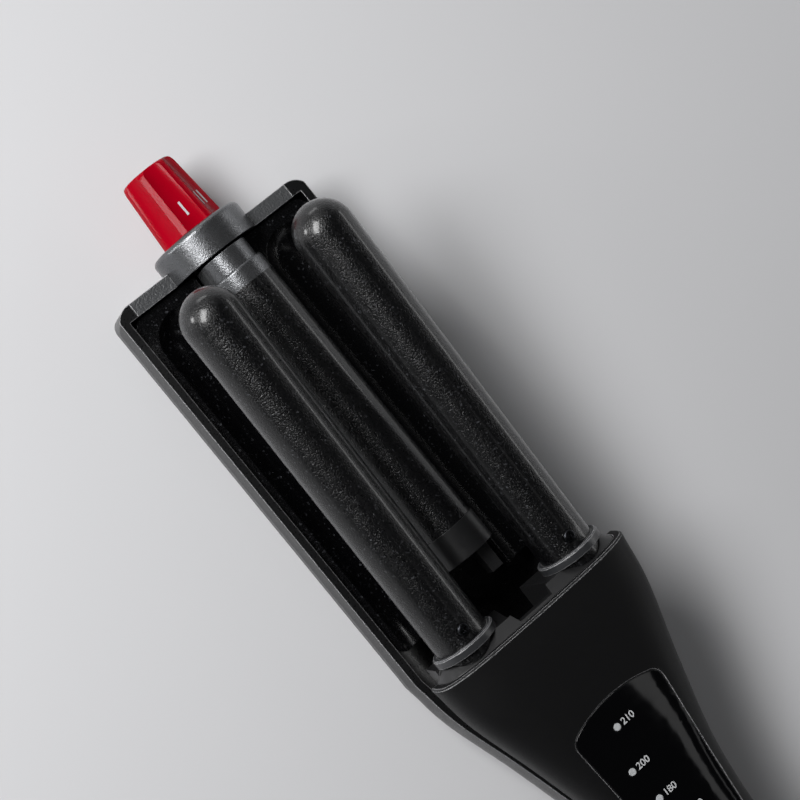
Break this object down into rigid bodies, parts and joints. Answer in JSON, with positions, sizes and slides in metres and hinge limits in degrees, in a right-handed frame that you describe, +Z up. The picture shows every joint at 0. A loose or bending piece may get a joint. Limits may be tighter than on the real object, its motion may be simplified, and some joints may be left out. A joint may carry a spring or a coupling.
{
  "type": "triple barrel hair waver",
  "caption": "Hinged hair waver: twin heated barrels on the upper arm close over a heated tray with a middle barrel that a red dial raises and lowers.",
  "frame": {"origin": "bottom centre of the bounding box, on the surface that the lower arm lies on", "axes": "+X towards the tip with the dial, +Y to the left seen from above with the tip ahead, +Z up"},
  "size_m": [0.3702, 0.0734, 0.0635],
  "materials": {
    "soft_black": "soft-touch black",
    "tray_black": "dark grey satin",
    "heat_block": "heat-resistant, dark grey",
    "ceramic_black": "glossy black ceramic coating with fine speckle",
    "collar_grey": "satin dark grey",
    "satin_grey": "satin grey, fine texture",
    "dial_red": "satin red",
    "piano_black": "high gloss",
    "lens_grey": "translucent pale grey",
    "steel": "plain",
    "spring_steel": "oiled",
    "brass": "plain",
    "acetal_white": "natural acetal",
    "board_green": "solder mask",
    "switch_black": "plain",
    "heater_white": "bare ceramic",
    "zinc": "as cast"
  },
  "bodies": {
    "lower_arm": {"lower_housing": "soft_black", "lower_inner_cover": "tray_black", "lower_cover_screws": "steel", "end_plate": "tray_black", "trough_plate": "ceramic_black", "trough_heaters": "heater_white", "plate_screws": "steel", "dial_collar": "satin_grey", "guide_pins": "steel", "hinge_pin": "steel", "hinge_washers": "steel", "hinge_springs": "spring_steel", "detent_ball": "steel", "detent_spring": "spring_steel"},
    "upper_arm": {"upper_housing": "soft_black", "upper_inner_cover": "tray_black", "upper_cover_screws": "steel", "front_plate": "heat_block", "left_barrel": "ceramic_black", "right_barrel": "ceramic_black", "left_collar": "collar_grey", "right_collar": "collar_grey", "barrel_screws": "steel", "outer_barrel_heaters": "heater_white", "control_panel": "piano_black", "indicator_lenses": "lens_grey", "circuit_board": "board_green", "tact_switches": "switch_black", "hinge_bush": "brass"},
    "power_key": {"power_button": "piano_black"},
    "temperature_key": {"temperature_button": "piano_black"},
    "depth_dial": {"dial": "dial_red", "cam_sleeve": "acetal_white"},
    "lift_slide": {"lift_bar": "zinc", "follower_pin": "steel"},
    "middle_unit": {"middle_barrel": "ceramic_black", "barrel_cap": "satin_grey", "front_carrier": "satin_grey", "rear_carrier": "satin_grey", "carrier_pins": "steel", "middle_heater": "heater_white"},
    "cord_gland": {"swivel_gland": "soft_black", "gland_clip": "steel"}
  },
  "joints": [
    {"name": "jaw_hinge", "type": "hinge", "parent": "lower_arm", "child": "upper_arm", "pos_m": [-0.16315, 0, 0.02195], "axis": [0, 1, 0], "range_deg": [0, 5.5], "stiffness_Nm_per_rad": 2.5, "springref_deg": -20.05},
    {"name": "dial_turn", "type": "hinge", "parent": "lower_arm", "child": "depth_dial", "pos_m": [0.17185, 0, 0.0176], "axis": [-1, 0, 0], "range_deg": [0, 102.86]},
    {"name": "bar_slide", "type": "slide", "parent": "lower_arm", "child": "lift_slide", "axis": [-1, 0, 0], "range_m": [0, 0.005]},
    {"name": "barrel_drop", "type": "slide", "parent": "lower_arm", "child": "middle_unit", "axis": [0, 0, -1], "range_m": [0, 0.005]},
    {"name": "power_press", "type": "slide", "parent": "upper_arm", "child": "power_key", "axis": [0.0958, 0, -0.9954], "range_m": [0, 0.0007], "stiffness_N_per_m": 1000, "springref_m": -0.0006},
    {"name": "temperature_press", "type": "slide", "parent": "upper_arm", "child": "temperature_key", "axis": [0.0958, 0, -0.9954], "range_m": [0, 0.0007], "stiffness_N_per_m": 1000, "springref_m": -0.0006},
    {"name": "gland_swivel", "type": "hinge", "parent": "lower_arm", "child": "cord_gland", "pos_m": [-0.17315, 0, 0.011], "axis": [1, 0, 0], "continuous": true}
  ],
  "couplings": [
    {"joint": "bar_slide", "follows": "barrel_drop", "ratio": 1},
    {"joint": "dial_turn", "follows": "barrel_drop", "rad_per_m": 359.04}
  ]
}
